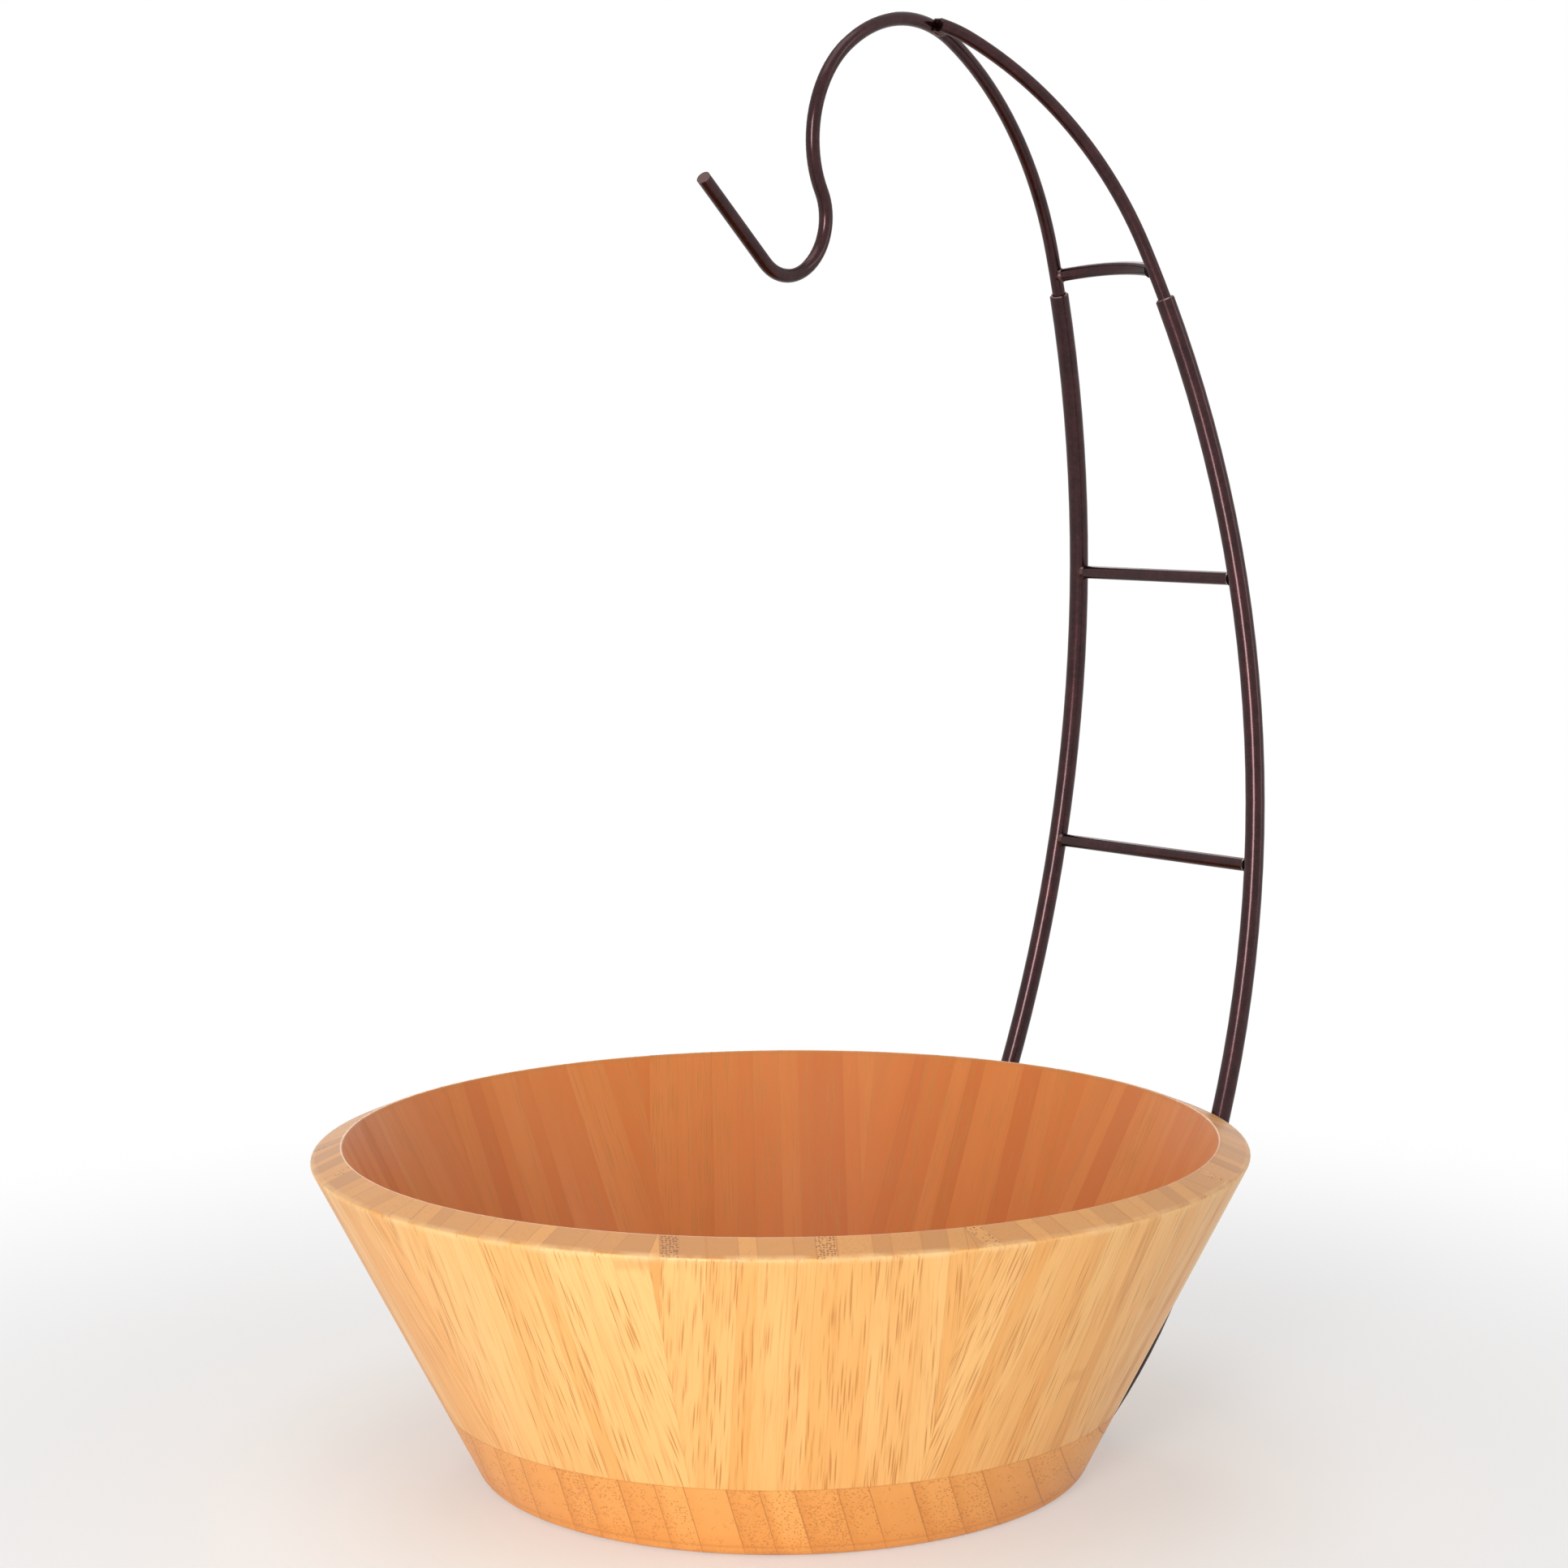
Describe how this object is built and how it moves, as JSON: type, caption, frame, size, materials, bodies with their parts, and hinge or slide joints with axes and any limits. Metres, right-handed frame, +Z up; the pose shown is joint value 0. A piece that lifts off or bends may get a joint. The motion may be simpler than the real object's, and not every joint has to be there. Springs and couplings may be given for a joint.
{
  "type": "fruit bowl with banana hanger",
  "caption": "Conical bamboo fruit bowl on a thick base disc, with a tall bowed metal ladder frame whose plug-in rods form a banana hook over the bowl.",
  "frame": {"origin": "centre of the underside of the bowl's foot", "axes": "+Z up out of the bowl, +Y from the bowl's axis towards the hanger, the hook reaches out to -Y, rungs lie along X"},
  "size_m": [0.2898, 0.3117, 0.4491],
  "materials": {
    "bamboo_staves": "satin lacquered bamboo",
    "bamboo_disc": "satin lacquered bamboo end grain",
    "tube_paint": "semi-gloss dark bronze paint",
    "rod_paint": "semi-gloss dark bronze paint",
    "weld_paint": "dark bronze paint over a weld bead"
  },
  "bodies": {
    "root": {"bowl_wall": "bamboo_staves", "base_disc": "bamboo_disc", "left_upright": "tube_paint", "right_upright": "tube_paint", "lower_rung": "rod_paint", "middle_rung": "rod_paint", "arched_rung": "rod_paint", "hook_wire": "rod_paint", "side_wire": "rod_paint", "rung_welds": "weld_paint", "top_welds": "weld_paint"}
  },
  "joints": []
}
